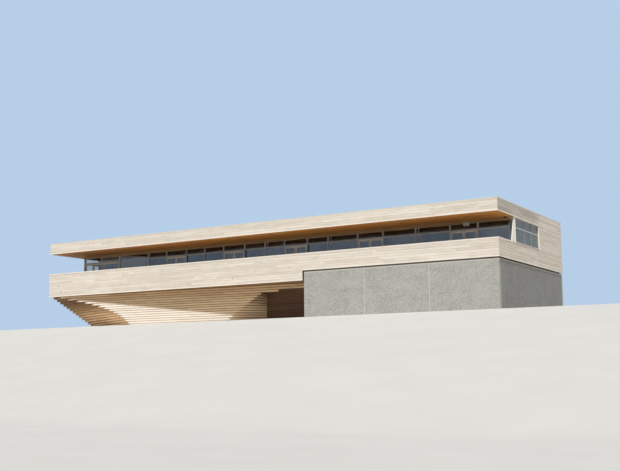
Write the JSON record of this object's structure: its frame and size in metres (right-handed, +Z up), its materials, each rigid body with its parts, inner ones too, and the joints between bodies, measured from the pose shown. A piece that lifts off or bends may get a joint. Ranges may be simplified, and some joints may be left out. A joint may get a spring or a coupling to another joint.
{
  "type": "beach house",
  "caption": "Long low beach house: timber-clad parapet band and flat roof over a concrete block and a timber base with a stepped cut-away corner.",
  "frame": {"origin": "middle of the footprint, on the ground", "axes": "+X along the front to the right, +Y from front to back, +Z up"},
  "size_m": [39, 13.1, 7.023],
  "materials": {
    "band_cladding": "weathered, silvered",
    "base_cladding": "weathered, silvered",
    "beam_timber": "planed",
    "cap_timber": "weathered",
    "concrete": "precast, matt",
    "dark_plastic": "gloss",
    "deck_timber": "weathered",
    "floor_concrete": "matt",
    "floor_timber": "satin",
    "frame_taupe": "satin",
    "frame_white": "satin",
    "glass": "clear",
    "light_plastic": "matt",
    "membrane": "matt",
    "roof_deck": "sheet",
    "soffit_timber": "oiled",
    "trim_metal": "satin"
  },
  "bodies": {
    "root": {"base_corner": "base_cladding", "base_front_wall": "base_cladding", "base_left_wall": "base_cladding", "base_rear_wall": "base_cladding", "base_soffit": "soffit_timber", "concrete_front_wall": "concrete", "concrete_left_wall": "concrete", "concrete_rear_wall": "concrete", "concrete_right_wall": "concrete", "deck": "deck_timber", "door_1": "frame_taupe", "door_2": "frame_taupe", "door_3": "frame_taupe", "door_4": "frame_taupe", "door_5": "frame_taupe", "door_6": "frame_taupe", "door_7": "frame_taupe", "floor_beams": "beam_timber", "floor_slab": "floor_concrete", "front_fascia": "band_cladding", "front_glass": "glass", "front_parapet": "band_cladding", "front_posts": "frame_taupe", "front_rails": "frame_taupe", "ground_slab": "floor_concrete", "head_beams": "soffit_timber", "left_fascia": "band_cladding", "left_frame": "frame_taupe", "left_glass": "glass", "left_parapet": "band_cladding", "left_wall": "band_cladding", "light_box": "light_plastic", "parapet_cap": "cap_timber", "rear_fascia": "band_cladding", "rear_wall": "band_cladding", "rear_window_frames": "frame_white", "recess_wall": "base_cladding", "right_fascia": "band_cladding", "right_parapet": "band_cladding", "right_wall": "band_cladding", "roof_deck": "roof_deck", "roof_membrane": "membrane", "roof_trim": "trim_metal", "room_floor": "floor_timber", "side_window_frame": "frame_white", "soffit_boards": "soffit_timber", "soffit_dome": "dark_plastic", "tapered_jamb": "frame_white", "window_glass": "glass"}
  },
  "joints": []
}
